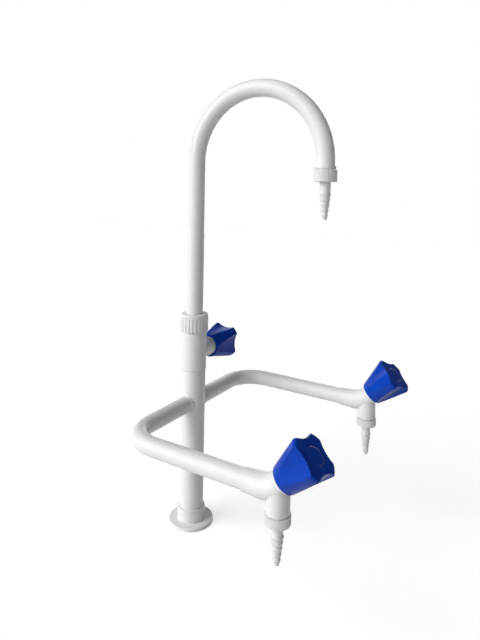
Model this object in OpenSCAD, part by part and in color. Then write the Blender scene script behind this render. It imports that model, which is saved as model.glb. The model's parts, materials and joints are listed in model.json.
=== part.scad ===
/* [Base] */
// Diameter of the round flange that stands on the bench
flange_d = 58; // [54:1:66]
// Thickness of the flange
flange_h = 4; // [3.5:0.5:6]
// Height of the collar above the flange
collar_h = 16; // [10:1:20]
// Thickness of the bench that is clamped
bench_t = 30; // [16:1:40]
// Length of the threaded shank below the flange
shank_len = 72; // [70:1:90]

/* [Column] */
// Outside diameter of the column tube
column_d = 31; // [30:0.5:32]
// Height of the top of the column tube
column_top = 200; // [195:1:225]

/* [Side arms] */
// Outside diameter of the side arm tubes
arm_d = 20.5; // [19:0.5:21]
// Height of the arm axes above the bench
arm_z = 157.5; // [145:0.5:165]
// Distance between the two side outlets
arm_span = 254; // [220:2:300]
// Distance from the column axis forward to the side outlets
arm_reach = 192; // [170:1:220]
// Centre-line radius of the bend in each arm
arm_bend_r = 40; // [34:1:50]

/* [Gooseneck] */
// Outside diameter of the gooseneck tube
spout_d = 22; // [21:0.5:22.5]
// Distance from the column axis forward to the gooseneck outlet
spout_reach = 179; // [149:2:219]
// Height of the gooseneck crown, on the tube's centre line
crown_z = 560; // [500:5:600]
// Height from the crown down to the tube's cut end
spout_drop = 108; // [100:1:150]

/* [Knobs] */
// Length of a knob along its axis
knob_len = 42; // [40:1:50]
// Diameter of a knob where it meets the valve neck
knob_base_d = 30; // [29.5:0.5:33]
// Diameter over the lobes at the end of a knob
knob_end_d = 51; // [46:1:54]
// Depth of a flute at the end of a knob
flute_depth = 4; // [3:0.5:6]
// Number of lobes on a knob
lobe_count = 4; // [4:1:5]

/* [Hose nozzles] */
// Length of a side nozzle below its union nut
side_nozzle_len = 39; // [34:1:48]
// Length of the gooseneck nozzle below its union nut
spout_nozzle_len = 43; // [38:1:52]
// Number of hose barbs on a nozzle
barb_count = 5; // [4:1:7]

/* [Hidden] */
$fn = 64;

// Finishes
enamel = "white";
moulding = "whitesmoke";
knob_blue = [0.06, 0.2, 0.7];
brass = [0.78, 0.62, 0.3];
rubber = [0.1, 0.1, 0.1];
steel = "silver";
ceramic = "ivory";

// Fits between pieces
running_gap = 0.05;
moving_gap = 0.4;
seam_gap = 0.6;
eps = 0.01;

// Base and shank
column_wall = 3;
column_bore = column_d - 2 * column_wall;
seam_cut = 0.8;
collar_wall = 2.3;
collar_d = column_d + 2 * collar_wall;
collar_top = flange_h + collar_h;
edge_r = 1.5;
shank_d = 20.955;
shank_bore = 12;
shank_spigot = 12;
thread_pitch = 1.814;
thread_depth = 1.162;
thread_from = 2;
thread_past = 14;
thread_turns = floor((bench_t + thread_past) / thread_pitch);
thread_points = [0, 0.3, 0.65];
shank_chamfer = 1;
seal_in_d = 38;
seal_out_d = 46;
seal_h = 1.5;
washer_d = 40;
washer_h = 2.5;
washer_clear = 0.8;
nut_flats = 30;
nut_face_d = 31;
nut_h = 8;

// Arm tubes
arm_wall = 1.8;
arm_inset = 9;
saddle_wall = 0.9;
saddle_d = arm_d + 2 * saddle_wall;
saddle_reach = column_d / 2 + saddle_wall;
arm_bend_x = arm_span / 2 - arm_bend_r;

// Side valve bodies, measured from the point where the arm's axis meets the leg's
neck_back = 6;
socket_wall = 1.2;
socket_d = arm_d + 2 * socket_wall;
socket_back = 36;
socket_taper = 12;
socket_depth = 12;
elbow_r = 30;
elbow_d = 25;
seam_step = 0.4;
neck_tilt = 45;
elbow_run = elbow_r * tan(neck_tilt / 2);
leg_d = 23.5;
leg_h = 20.5;
leg_root = 3;
outlet_bore = 10;
outlet_bore_h = 8;
drill_d = 4.4;
drill_tilt = 12;
side_thread_d = 20;
side_thread_h = 5.5;
side_thread_end = leg_h + side_thread_h;

// Valve mechanism, measured along the knob axis from the valve centre
neck_d = elbow_d - seam_step;
neck_clear = 0.6;
neck_cover = 7;
side_knob_base = 18.5;
top_knob_base = 32;
seat_bore_d = 7;
chamber_d = 18;
chamber_floor = 3;
seat_h = 1.5;
disc_d = 15;
disc_h = 2.5;
fixed_disc_from = chamber_floor + seat_h;
moving_disc_from = fixed_disc_from + disc_h;
spindle_from = moving_disc_from + disc_h;
spindle_flange_h = 2.5;
disc_space_top = spindle_from + spindle_flange_h;
spindle_d = 8;
drive_square = 5.6;
tongue = [10, 3, 1];
cap_flange_d = 23;
cap_flange_h = 2;
port_d = 3.6;
port_r = 4;
cartridge_relief = 1.6;
cartridge_window = [chamber_d + 2, 5, 3];
drive_root = 1;

// Knob interior, measured from the knob's base plane
cavity_clear = 2;
knob_cavity_h = neck_cover + cap_flange_h + cavity_clear;
drive_h = 13;
drive_top = knob_cavity_h + drive_h;
screw_d = 3;
screw_grip = 9;
screw_web = 4;
screw_head_d = 6;
screw_head_h = 2.4;
screw_head_taper = 1.2;
screw_slot = [3.6, 0.9, 2.4];
head_well_d = 10;
cap_d = 19;
cap_h = 4;
cap_rise = 0.4;
cap_bevel = 0.3;
knob_edge_r = 3;
lobe_tip_w = 9.5;
flute_start = 1;

// Knob positions in the photographed state
left_turn = 32;
right_turn = 16;
top_turn = 51;

// Top valve body and swivel joint
top_body_step = 0.75;
top_body_d = column_d + 2 * top_body_step;
top_body_h = 50;
top_axis_rise = 22.5;
top_axis_z = column_top + top_axis_rise;
body_top = column_top + top_body_h;
top_spigot_h = 8;
riser_d = 11;
riser_x = -4;
cross_d = 5;
cross_x = 6;
swivel_d = 28;
swivel_h = 12;
tail_bore_d = 19;
tail_bore_depth = 10;
tail_bore_from = body_top - tail_bore_depth;
ring_h = 1;
tail_collar_h = 3;
upper_ring_h = 3.5;
spout_nut_d = 36;
spout_nut_lip = 3.5;
spout_nut_ribs = 22;
spout_nut_groove = 2.4;
spout_nut_rim = 3.5;
spout_wall = 2;
lower_ring_z = body_top + swivel_h;
tail_collar_z = lower_ring_z + ring_h;
tube_foot_z = tail_collar_z + tail_collar_h;
upper_ring_top = tube_foot_z + upper_ring_h;
spout_nut_top = upper_ring_top + spout_nut_lip;
tail_d = tail_bore_d - 2 * running_gap;
tail_bore = 12;
tail_clear = 2;
tail_grip = 12;
o_ring_play = 0.2;
o_ring_w = 2;
o_ring_below = 3;
o_ring_above = 5;
o_ring_z = [body_top - o_ring_below, body_top + o_ring_above];
spout_bend_r = spout_reach / 2;
spout_end_z = crown_z - spout_drop;
ferrule_wall = 1.5;
ferrule_d = spout_d + 2 * ferrule_wall;
ferrule_h = 3;
ferrule_gap = 0.8;

// Union joints, measured downward from the thread's end
joint_washer_h = 1;
joint_flange_h = 2;
union_lip = 2;
union_below = joint_washer_h + joint_flange_h + union_lip;
washer_bore = 10;
union_ribs = 46;
union_groove = 1.2;
groove_lift = 0.3;
union_clear = 0.4;
side_union_d = 25.6;
side_union_h = 9.3;
spout_union_d = 26.8;
spout_union_h = 14;
side_root_d = 11.5;
spout_root_d = 13;
tip_d = 5.2;
nozzle_bore = 3;
barb_step = 1.4;
barb_fall = 0.98;
throat_wall = 2;
nozzle_root = 0.3;

// Plain ring or tube standing on z = 0
module ring(outer, inner, h) {
    difference() {
        cylinder(d = outer, h = h);
        translate([0, 0, -1]) cylinder(d = inner, h = h + 2);
    }
}

// Places at which the three valves sit, with z along the knob axis
module at_side_valve(side) {
    translate([side * arm_span / 2, -arm_reach, arm_z]) children();
}
module at_side_knob(side) {
    at_side_valve(side) translate([0, neck_back, 0]) rotate([neck_tilt, 0, 0]) children();
}
module at_top_knob() {
    translate([0, 0, top_axis_z]) rotate([0, 90, 0]) children();
}
module at_side_outlet(side) {
    translate([side * arm_span / 2, -arm_reach, arm_z - side_thread_end]) children();
}
module at_spout_outlet() {
    translate([0, -spout_reach, spout_end_z]) children();
}

// Base pieces
module base_flange() {
    color(enamel) difference() {
        rotate_extrude() {
            square([flange_d / 2, flange_h - edge_r]);
            square([flange_d / 2 - edge_r, flange_h]);
            translate([flange_d / 2 - edge_r, flange_h - edge_r]) circle(r = edge_r);
            square([collar_d / 2, collar_top - edge_r / 2]);
            square([collar_d / 2 - edge_r / 2, collar_top]);
            translate([collar_d / 2 - edge_r / 2, collar_top - edge_r / 2]) circle(r = edge_r / 2);
        }
        translate([0, 0, -1]) cylinder(d = shank_d, h = flange_h + 2);
        translate([0, 0, flange_h]) cylinder(d = column_d, h = collar_h + 1);
        base_seal_ring();
    }
}
module base_seal_ring() {
    ring(seal_out_d, seal_in_d, seal_h);
}
module base_seal() {
    color(rubber) base_seal_ring();
}
module inlet_shank() {
    r = shank_d / 2;
    spigot_top = flange_h + shank_spigot;
    turns = [for (i = [0 : thread_turns - 1], k = [0 : 2])
        [k == 2 ? r - thread_depth : r, -thread_from - thread_pitch * (i + thread_points[k])]];
    spigot = [[0, spigot_top], [column_bore / 2, spigot_top], [column_bore / 2, flange_h], [r, flange_h]];
    end = [[r, -thread_from - thread_pitch * (thread_turns + 0.5)], [r, shank_chamfer - shank_len],
        [r - shank_chamfer, -shank_len], [0, -shank_len]];
    color(brass) difference() {
        rotate_extrude() polygon(concat(spigot, turns, end));
        translate([0, 0, -shank_len - 1]) cylinder(d = shank_bore, h = shank_len + spigot_top + 2);
    }
}
module clamp_washer() {
    color(steel) translate([0, 0, -bench_t - washer_h]) ring(washer_d, shank_d + washer_clear, washer_h);
}
module back_nut() {
    color(brass) translate([0, 0, -bench_t - washer_h - nut_h]) difference() {
        intersection() {
            cylinder(d = nut_flats / cos(30), h = nut_h, $fn = 6);
            cylinder(d1 = nut_face_d, d2 = nut_face_d + 2 * nut_h, h = nut_h);
        }
        translate([0, 0, -1]) cylinder(d = shank_d, h = nut_h + 2);
    }
}

// Column with the two brazed saddles that take the arms
module column_tube() {
    color(enamel) difference() {
        union() {
            translate([0, 0, flange_h]) cylinder(d = column_d, h = column_top - flange_h - seam_cut);
            translate([0, 0, column_top - seam_cut])
                cylinder(d1 = column_d, d2 = column_d - 2 * seam_cut, h = seam_cut);
            translate([-saddle_reach, 0, arm_z]) rotate([0, 90, 0])
                cylinder(d = saddle_d, h = 2 * saddle_reach);
        }
        translate([0, 0, flange_h - 1]) cylinder(d = column_bore, h = column_top - flange_h + 2);
        translate([-column_d, 0, arm_z]) rotate([0, 90, 0]) cylinder(d = arm_d, h = 2 * column_d);
    }
}

// One side arm: straight out of the column, round the bend, forward to the valve
module arm_path(d) {
    translate([arm_inset, 0, 0]) rotate([0, 90, 0]) cylinder(d = d, h = arm_bend_x - arm_inset);
    translate([arm_bend_x, -arm_bend_r, 0]) rotate_extrude(angle = 90)
        translate([arm_bend_r, 0]) circle(d = d);
    translate([arm_span / 2, -arm_bend_r, 0]) rotate([90, 0, 0])
        cylinder(d = d, h = arm_reach - socket_back + socket_depth - arm_bend_r);
}
module arm_tube(side) {
    color(enamel) translate([0, 0, arm_z]) mirror([side < 0 ? 1 : 0, 0, 0]) difference() {
        arm_path(arm_d);
        arm_path(arm_d - 2 * arm_wall);
    }
}
module left_arm_tube() { arm_tube(-1); }
module right_arm_tube() { arm_tube(1); }

// Side valve body: socket, swept elbow, tilted neck and outlet leg
module side_valve_form() {
    taper_from = neck_back + elbow_run;
    rotate([-90, 0, 0]) {
        translate([0, 0, taper_from]) cylinder(d1 = elbow_d - seam_step, d2 = socket_d, h = socket_taper);
        translate([0, 0, taper_from + socket_taper])
            cylinder(d = socket_d, h = socket_back - socket_taper - taper_from);
    }
    translate([0, taper_from, elbow_r]) rotate([0, 90, 0]) rotate([0, 0, -neck_tilt])
        rotate_extrude(angle = neck_tilt) translate([elbow_r, 0]) circle(d = elbow_d);
    translate([0, neck_back, 0]) rotate([neck_tilt, 0, 0]) translate([0, 0, elbow_run])
        cylinder(d = neck_d, h = side_knob_base + neck_cover - elbow_run);
    translate([0, 0, -leg_h]) cylinder(d = leg_d, h = leg_h + leg_root);
    translate([0, 0, -side_thread_end]) cylinder(d = side_thread_d, h = side_thread_end);
}
module side_valve_ways() {
    rotate([-90, 0, 0]) {
        translate([0, 0, socket_back - socket_depth]) cylinder(d = arm_d, h = socket_depth + 1);
        translate([0, 0, neck_back]) cylinder(d = arm_d / 2, h = socket_back - neck_back);
    }
    translate([0, neck_back, 0]) rotate([neck_tilt, 0, 0]) {
        cylinder(d = seat_bore_d, h = chamber_floor + 1);
        translate([0, 0, chamber_floor]) cylinder(d = chamber_d, h = side_knob_base + neck_cover);
    }
    translate([0, 0, -side_thread_end - 1]) cylinder(d = outlet_bore, h = outlet_bore_h + 1);
    translate([0, 0, -side_thread_end]) rotate([drill_tilt, 0, 0])
        cylinder(d = drill_d, h = side_thread_end + 1);
}
module side_valve_body(side) {
    color(enamel) at_side_valve(side) difference() {
        side_valve_form();
        side_valve_ways();
    }
}
module left_valve_body() { side_valve_body(-1); }
module right_valve_body() { side_valve_body(1); }

// Top valve body: stands on the column, carries the swivel and the sideways neck
module top_valve_body() {
    spigot_foot = column_top - top_spigot_h;
    color(enamel) difference() {
        union() {
            translate([0, 0, column_top])
                cylinder(d1 = top_body_d - 2 * seam_cut, d2 = top_body_d, h = seam_cut);
            translate([0, 0, column_top + seam_cut]) cylinder(d = top_body_d, h = top_body_h - seam_cut);
            translate([0, 0, spigot_foot]) cylinder(d = column_bore, h = top_spigot_h + 1);
            translate([0, 0, body_top - 1]) cylinder(d = swivel_d, h = swivel_h + 1);
            at_top_knob() cylinder(d = neck_d, h = top_knob_base + neck_cover);
        }
        translate([riser_x, 0, spigot_foot - 1]) cylinder(d = riser_d, h = top_axis_z - spigot_foot + 1);
        at_top_knob() translate([0, 0, riser_x]) cylinder(d = seat_bore_d, h = chamber_floor - riser_x + 1);
        at_top_knob() translate([0, 0, chamber_floor])
            cylinder(d = chamber_d, h = top_knob_base + neck_cover);
        translate([0, 0, tail_bore_from]) cylinder(d = tail_bore_d, h = lower_ring_z - tail_bore_from + 1);
        translate([cross_x, 0, top_axis_z + cross_x])
            cylinder(d = cross_d, h = tail_bore_from - top_axis_z - cross_d);
    }
}

// Quarter-turn ceramic cartridge and what it holds
module seat_seal_form() {
    color(rubber) translate([0, 0, chamber_floor]) ring(disc_d, seat_bore_d + 1, seat_h);
}
module ports() {
    for (side = [-1, 1]) translate([side * port_r, 0, -1]) cylinder(d = port_d, h = disc_h + 2);
}
module fixed_disc_form() {
    color(ceramic) translate([0, 0, fixed_disc_from]) difference() {
        cylinder(d = disc_d, h = disc_h);
        ports();
    }
}
module drive_tongue() {
    translate([0, 0, spindle_from - tongue[2] / 2]) cube(tongue, center = true);
}
module moving_disc_form() {
    color(ceramic) difference() {
        translate([0, 0, moving_disc_from]) difference() {
            cylinder(d = disc_d - 2 * moving_gap, h = disc_h);
            rotate([0, 0, 90]) ports();
        }
        drive_tongue();
    }
}
module cartridge_form(knob_base) {
    neck_end = knob_base + neck_cover;
    color(brass) difference() {
        union() {
            translate([0, 0, fixed_disc_from])
                cylinder(d = chamber_d - cartridge_relief, h = neck_end - fixed_disc_from);
            translate([0, 0, disc_space_top]) cylinder(d = chamber_d, h = neck_end - disc_space_top);
            translate([0, 0, neck_end]) cylinder(d = cap_flange_d, h = cap_flange_h);
        }
        translate([0, 0, fixed_disc_from - 1])
            cylinder(d = disc_d, h = disc_space_top - fixed_disc_from + 1);
        cylinder(d = spindle_d + 2 * running_gap, h = neck_end + cap_flange_h + 1);
        translate([0, 0, spindle_from]) cube(cartridge_window, center = true);
    }
}
module spindle_form(knob_base) {
    color(brass) difference() {
        union() {
            translate([0, 0, spindle_from]) cylinder(d = disc_d - 3 * moving_gap, h = spindle_flange_h);
            translate([0, 0, spindle_from])
                cylinder(d = spindle_d, h = knob_base + knob_cavity_h - spindle_from);
            translate([0, 0, knob_base + knob_cavity_h + (drive_h - drive_root) / 2])
                cube([drive_square, drive_square, drive_h + drive_root], center = true);
            drive_tongue();
        }
        translate([0, 0, knob_base + drive_top - screw_grip]) cylinder(d = screw_d, h = screw_grip + 1);
    }
}
module left_seat_seal() { at_side_knob(-1) seat_seal_form(); }
module right_seat_seal() { at_side_knob(1) seat_seal_form(); }
module top_seat_seal() { at_top_knob() seat_seal_form(); }
module left_fixed_disc() { at_side_knob(-1) fixed_disc_form(); }
module right_fixed_disc() { at_side_knob(1) fixed_disc_form(); }
module top_fixed_disc() { at_top_knob() fixed_disc_form(); }
module left_moving_disc() { at_side_knob(-1) moving_disc_form(); }
module right_moving_disc() { at_side_knob(1) moving_disc_form(); }
module top_moving_disc() { at_top_knob() moving_disc_form(); }
module left_cartridge() { at_side_knob(-1) cartridge_form(side_knob_base); }
module right_cartridge() { at_side_knob(1) cartridge_form(side_knob_base); }
module top_cartridge() { at_top_knob() cartridge_form(top_knob_base); }
module left_spindle() { at_side_knob(-1) spindle_form(side_knob_base); }
module right_spindle() { at_side_knob(1) spindle_form(side_knob_base); }
module top_spindle() { at_top_knob() spindle_form(top_knob_base); }

// Fluted knob, its screw and its cap, standing on the knob's base plane
module knob_outline() {
    base_r = knob_base_d / 2;
    end_r = knob_end_d / 2;
    lean = atan((end_r - base_r) / knob_len);
    centre_z = knob_len - knob_edge_r;
    centre_r = base_r + (end_r - base_r) * centre_z / knob_len - knob_edge_r / cos(lean);
    rounding = [for (k = [0 : 4]) let (a = -lean + k * (90 + lean) / 4)
        [centre_r + knob_edge_r * cos(a), centre_z + knob_edge_r * sin(a)]];
    polygon(concat([[0, 0], [base_r, 0]], rounding, [[0, knob_len]]));
}
module knob_flutes() {
    base_r = knob_base_d / 2;
    end_r = knob_end_d / 2;
    half_angle = 180 / lobe_count - asin(lobe_tip_w / 2 / end_r);
    half_chord = end_r * sin(half_angle);
    end_floor = end_r * cos(half_angle) - flute_depth;
    start_floor = base_r + (end_r - base_r) * flute_start / knob_len;
    tilt = atan((start_floor - end_floor) / (knob_len - flute_start));
    cutter_r = (half_chord * half_chord + flute_depth * flute_depth) / (2 * flute_depth);
    for (i = [0 : lobe_count - 1]) rotate([0, 0, (i + 0.5) * 360 / lobe_count])
        translate([end_floor + cutter_r, 0, knob_len]) rotate([0, -tilt, 0])
        translate([0, 0, -2 * knob_len]) cylinder(r = cutter_r, h = 3 * knob_len);
}
module knob_form(turn) {
    color(knob_blue) rotate([0, 0, turn]) difference() {
        rotate_extrude() knob_outline();
        knob_flutes();
        translate([0, 0, -1]) cylinder(d = neck_d + 2 * neck_clear, h = knob_cavity_h + 1);
        rotate([0, 0, -turn]) translate([0, 0, knob_cavity_h + drive_h / 2])
            cube([drive_square, drive_square, drive_h + 2 * eps], center = true);
        translate([0, 0, knob_cavity_h]) cylinder(d = screw_d, h = knob_len);
        translate([0, 0, drive_top + screw_web]) cylinder(d = head_well_d, h = knob_len);
        translate([0, 0, knob_len - cap_h]) cylinder(d = cap_d, h = cap_h + 1);
    }
}
module knob_screw_form() {
    seat = drive_top + screw_web;
    color(steel) difference() {
        union() {
            translate([0, 0, drive_top - screw_grip + 1]) cylinder(d = screw_d, h = screw_grip + screw_web);
            translate([0, 0, seat])
                cylinder(d1 = screw_head_d, d2 = screw_head_d - screw_head_taper, h = screw_head_h);
        }
        for (turn = [0, 90]) rotate([0, 0, turn]) translate([0, 0, seat + screw_head_h])
            cube(screw_slot, center = true);
    }
}
module knob_cap_form() {
    color(knob_blue) translate([0, 0, knob_len - cap_h]) {
        cylinder(d = cap_d, h = cap_h);
        translate([0, 0, cap_h])
            cylinder(d1 = cap_d - 2 * cap_bevel, d2 = cap_d - 5 * cap_bevel, h = cap_rise);
    }
}
module on_side_base(side) { at_side_knob(side) translate([0, 0, side_knob_base]) children(); }
module on_top_base() { at_top_knob() translate([0, 0, top_knob_base]) children(); }
module left_knob() { on_side_base(-1) knob_form(left_turn); }
module right_knob() { on_side_base(1) knob_form(right_turn); }
module top_knob() { on_top_base() knob_form(top_turn); }
module left_knob_screw() { on_side_base(-1) knob_screw_form(); }
module right_knob_screw() { on_side_base(1) knob_screw_form(); }
module top_knob_screw() { on_top_base() knob_screw_form(); }
module left_knob_cap() { on_side_base(-1) knob_cap_form(); }
module right_knob_cap() { on_side_base(1) knob_cap_form(); }
module top_knob_cap() { on_top_base() knob_cap_form(); }

// Swivel joint under the gooseneck
module rib_grooves(count, d, groove, z0, h) {
    for (i = [0 : count - 1]) rotate([0, 0, i * 360 / count])
        translate([d / 2, 0, z0]) cylinder(d = groove, h = h, $fn = 16);
}
module spout_nut() {
    foot = body_top + seam_gap;
    h = spout_nut_top - foot;
    color(moulding) translate([0, 0, foot]) difference() {
        rotate_extrude() {
            square([spout_nut_d / 2, h - edge_r]);
            square([spout_nut_d / 2 - edge_r, h]);
            translate([spout_nut_d / 2 - edge_r, h - edge_r]) circle(r = edge_r);
        }
        translate([0, 0, -1]) cylinder(d = swivel_d, h = h - spout_nut_lip + 1);
        cylinder(d = spout_d + 2 * moving_gap, h = h + 1);
        rib_grooves(spout_nut_ribs, spout_nut_d + groove_lift, spout_nut_groove, -1, h - spout_nut_rim);
    }
}
module spout_lower_ring() {
    color(moulding) translate([0, 0, lower_ring_z]) ring(swivel_d, tail_bore_d, ring_h);
}
module spout_upper_ring() {
    color(moulding) translate([0, 0, tube_foot_z]) ring(swivel_d, spout_d + 2 * running_gap, upper_ring_h);
}
module o_ring_row(inner_d) {
    for (z = o_ring_z) translate([0, 0, z]) rotate_extrude() translate([inner_d / 2 + o_ring_w / 2, 0])
        circle(d = o_ring_w, $fn = 24);
}
module spout_tail() {
    foot = tail_bore_from + tail_clear;
    color(brass) difference() {
        union() {
            translate([0, 0, foot]) cylinder(d = tail_d, h = tail_collar_z - foot);
            translate([0, 0, tail_collar_z]) cylinder(d = swivel_d - 2 * moving_gap, h = tail_collar_h);
            translate([0, 0, tube_foot_z]) cylinder(d = spout_d - 2 * spout_wall, h = tail_grip);
        }
        translate([0, 0, foot - 1]) cylinder(d = tail_bore, h = tube_foot_z + tail_grip - foot + 2);
        for (z = o_ring_z) translate([0, 0, z - o_ring_w / 2 - o_ring_play])
            ring(tail_d + 2, tail_d - 2 * o_ring_w, o_ring_w + 2 * o_ring_play);
    }
}
module spout_o_rings() {
    color(rubber) o_ring_row(tail_d - 2 * o_ring_w);
}

// Gooseneck: up from the swivel, over the crown, down to the outlet
module spout_path(d) {
    bend_z = crown_z - spout_bend_r;
    translate([0, 0, tube_foot_z]) cylinder(d = d, h = bend_z - tube_foot_z);
    translate([0, -spout_bend_r, bend_z]) rotate([0, 0, -90]) rotate([90, 0, 0])
        rotate_extrude(angle = 180) translate([spout_bend_r, 0]) circle(d = d);
    translate([0, -spout_reach, spout_end_z]) cylinder(d = d, h = bend_z - spout_end_z);
}
module gooseneck_tube() {
    color(enamel) difference() {
        union() {
            spout_path(spout_d);
            at_spout_outlet() translate([0, 0, spout_union_h - union_below + ferrule_gap])
                cylinder(d = ferrule_d, h = ferrule_h);
        }
        spout_path(spout_d - 2 * spout_wall);
    }
}

// Hose nozzle, washer and union nut, hanging from the thread's end at z = 0
module washer_form(end_d) {
    color(rubber) translate([0, 0, -joint_washer_h])
        ring(end_d - 2 * moving_gap, washer_bore, joint_washer_h);
}
module nozzle_form(len, root_d, end_d) {
    flange_r = end_d / 2 - moving_gap;
    root_len = nozzle_root * len;
    pitch = (len - root_len) / barb_count;
    function barb_r(i) = (root_d + (tip_d - root_d) * i / barb_count) / 2;
    barbs = [for (i = [0 : barb_count - 1], k = [0 : 1])
        [barb_r(i + k) + (k == 0 ? barb_step / 2 : -barb_step / 4),
            -union_below - root_len - pitch * (i + k * barb_fall)]];
    color(moulding) difference() {
        rotate_extrude() polygon(concat([[0, -joint_washer_h], [flange_r, -joint_washer_h],
            [flange_r, union_lip - union_below], [root_d / 2, union_lip - union_below],
            [root_d / 2, -union_below], [barb_r(0) - barb_step / 4, -union_below - root_len]], barbs,
            [[barb_r(barb_count) - barb_step / 4, -union_below - len], [0, -union_below - len]]));
        translate([0, 0, -union_below - len - 1]) cylinder(d = nozzle_bore, h = len + union_below + 2);
        translate([0, 0, -union_below])
            cylinder(d1 = nozzle_bore, d2 = root_d - 2 * throat_wall, h = union_below);
    }
}
module union_nut_form(d, h, hole_d, end_d) {
    color(moulding) translate([0, 0, -union_below]) difference() {
        rotate_extrude() {
            translate([0, edge_r]) square([d / 2, h - edge_r]);
            square([d / 2 - edge_r, h]);
            translate([d / 2 - edge_r, edge_r]) circle(r = edge_r);
        }
        translate([0, 0, union_lip]) cylinder(d = end_d, h = h);
        translate([0, 0, -1]) cylinder(d = hole_d + union_clear, h = h);
        rib_grooves(union_ribs, d + groove_lift, union_groove, -1, h + 2);
    }
}
module left_nozzle_washer() { at_side_outlet(-1) washer_form(side_thread_d); }
module right_nozzle_washer() { at_side_outlet(1) washer_form(side_thread_d); }
module spout_nozzle_washer() { at_spout_outlet() washer_form(spout_d); }
module left_nozzle() {
    at_side_outlet(-1) nozzle_form(side_nozzle_len, side_root_d, side_thread_d);
}
module right_nozzle() {
    at_side_outlet(1) nozzle_form(side_nozzle_len, side_root_d, side_thread_d);
}
module spout_nozzle() { at_spout_outlet() nozzle_form(spout_nozzle_len, spout_root_d, spout_d); }
module left_union_nut() {
    at_side_outlet(-1) union_nut_form(side_union_d, side_union_h, side_root_d, side_thread_d);
}
module right_union_nut() {
    at_side_outlet(1) union_nut_form(side_union_d, side_union_h, side_root_d, side_thread_d);
}
module spout_union_nut() {
    at_spout_outlet() union_nut_form(spout_union_d, spout_union_h, spout_root_d, spout_d);
}

base_flange();
base_seal();
inlet_shank();
clamp_washer();
back_nut();
column_tube();
left_arm_tube();
right_arm_tube();
left_valve_body();
right_valve_body();
top_valve_body();
left_seat_seal();
right_seat_seal();
top_seat_seal();
left_fixed_disc();
right_fixed_disc();
top_fixed_disc();
left_moving_disc();
right_moving_disc();
top_moving_disc();
left_cartridge();
right_cartridge();
top_cartridge();
left_spindle();
right_spindle();
top_spindle();
left_knob();
right_knob();
top_knob();
left_knob_screw();
right_knob_screw();
top_knob_screw();
left_knob_cap();
right_knob_cap();
top_knob_cap();
spout_nut();
spout_lower_ring();
spout_upper_ring();
spout_tail();
spout_o_rings();
gooseneck_tube();
left_nozzle_washer();
right_nozzle_washer();
spout_nozzle_washer();
left_nozzle();
right_nozzle();
spout_nozzle();
left_union_nut();
right_union_nut();
spout_union_nut();
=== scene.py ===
import json
import math

import bpy
from mathutils import Matrix, Vector


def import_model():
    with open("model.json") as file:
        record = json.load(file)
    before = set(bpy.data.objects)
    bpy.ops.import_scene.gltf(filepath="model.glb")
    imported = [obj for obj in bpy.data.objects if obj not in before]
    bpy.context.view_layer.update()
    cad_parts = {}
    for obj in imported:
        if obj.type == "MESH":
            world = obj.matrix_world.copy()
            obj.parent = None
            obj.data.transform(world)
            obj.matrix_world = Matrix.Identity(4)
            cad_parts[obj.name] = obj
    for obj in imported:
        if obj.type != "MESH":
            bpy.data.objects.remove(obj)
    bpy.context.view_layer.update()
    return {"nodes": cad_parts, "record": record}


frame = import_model()

# Lens, in pixels of the picture: its height, the focal length and the row of the optical axis
IMAGE_H = 640
FOCAL_PX = 543.57
AXIS_ROW_PX = 197.67
SENSOR_MM = 36.0

# Camera's place in metres and its direction in degrees, with the heading from +X towards +Y
CAMERA_AT = (-0.5753, -0.4188, 0.4403)
CAMERA_HEADING = 31.50
CAMERA_PITCH = 1.2
CAMERA_ROLL = 1.12

# Lamps: direction towards the lamp, angular size in degrees and strength in watts per square metre
KEY_FROM = (-0.77, 0.63, 0.50)
KEY_SPREAD = 55.0
KEY_LIGHT = 2.9
SIDE_FROM = (-0.80, -0.10, 0.45)
SIDE_SPREAD = 50.0
SIDE_LIGHT = 0.6
FILL_FROM = (0.95, 0.20, 0.20)
FILL_SPREAD = 45.0
FILL_LIGHT = 1.0

# World: strength on surfaces, and two z values of a ray's direction, where the sweep fades to the ceiling
ROOM_LIGHT = 0.08
SWEEP_END = 0.0
CEILING_START = 0.2

# Surfaces: clouds are larger than the grain by CLOUD_SIZE, and the grain's depth is in metres
CLOUD_SIZE = 12
CLOUD_DETAIL = 3.0
GRAIN_DETAIL = 4.0
NOISE_LOW = 0.3
NOISE_HIGH = 0.7
GLOSS_SWING = 0.15
GRAIN_DEPTH = 0.0002

# Floor: edge length in metres, and roughness
FLOOR_SIZE = 8.0
FLOOR_ROUGHNESS = 0.9

# Colours in linear light
ENAMEL = (0.80, 0.815, 0.80, 1.0)
ENAMEL_DARK = (0.775, 0.79, 0.775, 1.0)
PLASTIC = (0.79, 0.80, 0.785, 1.0)
PLASTIC_DARK = (0.76, 0.77, 0.755, 1.0)
BLUE = (0.004, 0.055, 0.45, 1.0)
BLUE_DARK = (0.003, 0.044, 0.39, 1.0)
BRASS = (0.62, 0.42, 0.14, 1.0)
BRASS_DARK = (0.36, 0.22, 0.07, 1.0)
RUBBER = (0.012, 0.012, 0.013, 1.0)
RUBBER_DARK = (0.006, 0.006, 0.006, 1.0)
STEEL = (0.55, 0.55, 0.54, 1.0)
STEEL_DARK = (0.36, 0.36, 0.36, 1.0)
CERAMIC = (0.80, 0.78, 0.70, 1.0)
CERAMIC_DARK = (0.72, 0.69, 0.60, 1.0)
FLOOR = (0.68, 0.68, 0.68, 1.0)
FLOOR_GLOW = (0.57, 0.57, 0.57, 1.0)
WHITE = (1.0, 1.0, 1.0, 1.0)
CEILING = (0.10, 0.10, 0.10, 1.0)

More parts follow.
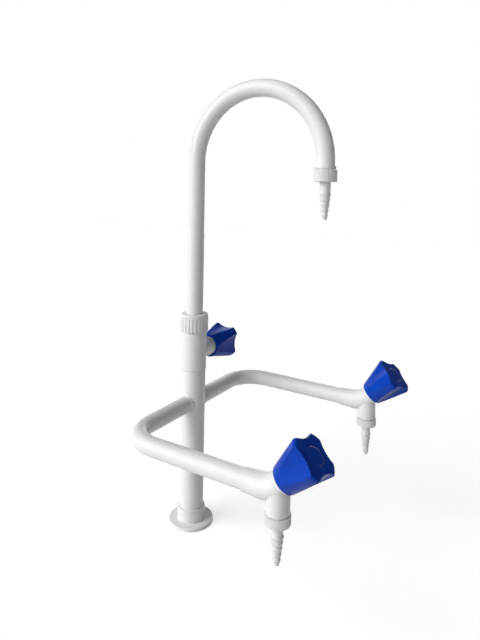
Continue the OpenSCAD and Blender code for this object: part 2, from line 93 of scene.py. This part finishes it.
# Finishes by material slot, and one for the cast valve bodies, with edge radii in metres
FINISHES = {
    "white_enamel": dict(light=ENAMEL, dark=ENAMEL_DARK, rough=0.26, grain=900, bump=0.06,
                         edge=0.0006, specular=0.3),
    "cast_enamel": dict(light=ENAMEL, dark=ENAMEL_DARK, rough=0.28, grain=700, bump=0.08,
                        edge=0.0015, specular=0.3),
    "white_plastic": dict(light=PLASTIC, dark=PLASTIC_DARK, rough=0.42, grain=1400, bump=0.10,
                          specular=0.3),
    "blue_plastic": dict(light=BLUE, dark=BLUE_DARK, rough=0.16, grain=700, bump=0.03,
                         edge=0.0012, specular=0.09),
    "brass": dict(light=BRASS, dark=BRASS_DARK, rough=0.30, grain=1500, bump=0.12,
                  edge=0.0003, metallic=1.0),
    "rubber": dict(light=RUBBER, dark=RUBBER_DARK, rough=0.70, grain=2200, bump=0.25),
    "steel": dict(light=STEEL, dark=STEEL_DARK, rough=0.34, grain=1800, bump=0.12,
                  edge=0.0003, metallic=1.0),
    "ceramic": dict(light=CERAMIC, dark=CERAMIC_DARK, rough=0.12, grain=1000, bump=0.02,
                    edge=0.0002),
}


def camera():
    """Camera of the photo, with the optical axis above the middle of the picture."""
    data = bpy.data.cameras.new("camera")
    data.sensor_width = SENSOR_MM
    data.lens = FOCAL_PX * SENSOR_MM / IMAGE_H
    data.shift_y = (AXIS_ROW_PX - IMAGE_H / 2) / IMAGE_H
    heading = math.radians(CAMERA_HEADING)
    pitch = math.radians(CAMERA_PITCH)
    ahead = Vector((
        math.cos(heading) * math.cos(pitch),
        math.sin(heading) * math.cos(pitch),
        -math.sin(pitch),
    ))
    right = Vector((math.sin(heading), -math.cos(heading), 0.0))
    up = right.cross(ahead)
    facing = Matrix((right, up, -ahead)).transposed()
    roll = Matrix.Rotation(math.radians(CAMERA_ROLL), 3, "Z")
    obj = bpy.data.objects.new("camera", data)
    obj.matrix_world = Matrix.Translation(CAMERA_AT) @ (facing @ roll).to_4x4()
    bpy.context.scene.collection.objects.link(obj)
    bpy.context.scene.camera = obj


def new_material(name):
    """New material with its nodes, its links and its shader."""
    mat = bpy.data.materials.new(name)
    mat.use_nodes = True
    nodes = mat.node_tree.nodes
    return mat, nodes, mat.node_tree.links, nodes["Principled BSDF"]


def noise(nodes, links, scale, detail):
    """Object-space noise that stays with the piece."""
    coords = nodes.new("ShaderNodeTexCoord")
    tex = nodes.new("ShaderNodeTexNoise")
    tex.inputs["Scale"].default_value = scale
    tex.inputs["Detail"].default_value = detail
    links.new(coords.outputs["Object"], tex.inputs["Vector"])
    return tex.outputs["Fac"]


def ramp(nodes, links, fac, low, high, start=NOISE_LOW, end=NOISE_HIGH):
    """Colour that goes from low to high between two values of the input."""
    node = nodes.new("ShaderNodeValToRGB")
    node.color_ramp.elements[0].position = start
    node.color_ramp.elements[0].color = low
    node.color_ramp.elements[1].position = end
    node.color_ramp.elements[1].color = high
    links.new(fac, node.inputs["Fac"])
    return node.outputs["Color"]


def grey(value):
    return (value, value, value, 1.0)


def finish_material(name, light, dark, rough, grain, bump, edge=0.0, metallic=0.0, specular=0.5):
    """Clouded colour, uneven gloss and a fine surface, with edges softened by the given radius."""
    mat, nodes, links, bsdf = new_material(name)
    cloud = noise(nodes, links, grain / CLOUD_SIZE, CLOUD_DETAIL)
    links.new(ramp(nodes, links, cloud, dark, light), bsdf.inputs["Base Color"])
    fine = noise(nodes, links, grain, GRAIN_DETAIL)
    glossy = grey(rough * (1 - GLOSS_SWING))
    dull = grey(rough * (1 + GLOSS_SWING))
    links.new(ramp(nodes, links, fine, glossy, dull), bsdf.inputs["Roughness"])
    bsdf.inputs["Metallic"].default_value = metallic
    bsdf.inputs["Specular IOR Level"].default_value = specular
    height = nodes.new("ShaderNodeBump")
    height.inputs["Strength"].default_value = bump
    height.inputs["Distance"].default_value = GRAIN_DEPTH
    links.new(fine, height.inputs["Height"])
    if edge:
        bevel = nodes.new("ShaderNodeBevel")
        bevel.inputs["Radius"].default_value = edge
        links.new(bevel.outputs["Normal"], height.inputs["Normal"])
    links.new(height.outputs["Normal"], bsdf.inputs["Normal"])
    return mat


def dress_nodes():
    """Each node gets the finish of its slot, and the cast valve bodies an enamel with softer edges."""
    materials = {name: finish_material(name, **finish) for name, finish in FINISHES.items()}
    for part in frame["record"]["subparts"]:
        slot = part["material_slot"]
        if part["node"].endswith("valve_body"):
            slot = "cast_enamel"
        obj = frame["nodes"][part["node"]]
        obj.data.materials.clear()
        obj.data.materials.append(materials[slot])


def seen_rays(nodes, links):
    """One for rays from the camera, reflections and transmission, zero for light on surfaces."""
    path = nodes.new("ShaderNodeLightPath")
    total = path.outputs["Is Camera Ray"]
    for name in ("Is Glossy Ray", "Is Transmission Ray"):
        add = nodes.new("ShaderNodeMath")
        add.use_clamp = True
        links.new(total, add.inputs[0])
        links.new(path.outputs[name], add.inputs[1])
        total = add.outputs[0]
    return total


def floor_material():
    """Pale floor that reads as white where it is lit and keeps the shadows."""
    mat, nodes, links, bsdf = new_material("floor")
    bsdf.inputs["Base Color"].default_value = FLOOR
    bsdf.inputs["Roughness"].default_value = FLOOR_ROUGHNESS
    bsdf.inputs["Specular IOR Level"].default_value = 0.0
    bsdf.inputs["Emission Color"].default_value = FLOOR_GLOW
    links.new(seen_rays(nodes, links), bsdf.inputs["Emission Strength"])
    return mat


def stage():
    """Floor at the height of the bench top, where the base flange stands."""
    bpy.ops.mesh.primitive_plane_add(size=FLOOR_SIZE, location=(0, 0, 0))
    floor = bpy.context.object
    floor.name = "floor"
    floor.data.materials.append(floor_material())


def world():
    """White to the camera, a white sweep under a dim ceiling in reflections, a dim room on surfaces."""
    scene = bpy.context.scene
    scene.world = bpy.data.worlds.new("studio")
    scene.world.use_nodes = True
    nodes = scene.world.node_tree.nodes
    links = scene.world.node_tree.links
    path = nodes.new("ShaderNodeLightPath")
    direction = nodes.new("ShaderNodeTexCoord")
    parts = nodes.new("ShaderNodeSeparateXYZ")
    links.new(direction.outputs["Generated"], parts.inputs["Vector"])
    sweep = ramp(nodes, links, parts.outputs["Z"], WHITE, CEILING, SWEEP_END, CEILING_START)
    room = nodes["Background"]
    room.inputs["Color"].default_value = WHITE
    room.inputs["Strength"].default_value = ROOM_LIGHT
    light = room.outputs["Background"]
    for ray, color in (("Is Glossy Ray", sweep), ("Is Transmission Ray", None), ("Is Camera Ray", None)):
        seen = nodes.new("ShaderNodeBackground")
        seen.inputs["Color"].default_value = WHITE
        if color:
            links.new(color, seen.inputs["Color"])
        choose = nodes.new("ShaderNodeMixShader")
        links.new(path.outputs[ray], choose.inputs["Fac"])
        links.new(light, choose.inputs[1])
        links.new(seen.outputs["Background"], choose.inputs[2])
        light = choose.outputs["Shader"]
    links.new(light, nodes["World Output"].inputs["Surface"])


def lamp(name, source, spread, strength):
    """Broad soft light that comes from the given direction."""
    data = bpy.data.lights.new(name, "SUN")
    data.energy = strength
    data.angle = math.radians(spread)
    obj = bpy.data.objects.new(name, data)
    obj.rotation_euler = (-Vector(source)).to_track_quat("-Z", "Y").to_euler()
    bpy.context.scene.collection.objects.link(obj)


bpy.context.scene.view_settings.view_transform = "Standard"
camera()
dress_nodes()
stage()
world()
lamp("key", KEY_FROM, KEY_SPREAD, KEY_LIGHT)
lamp("side", SIDE_FROM, SIDE_SPREAD, SIDE_LIGHT)
lamp("fill", FILL_FROM, FILL_SPREAD, FILL_LIGHT)
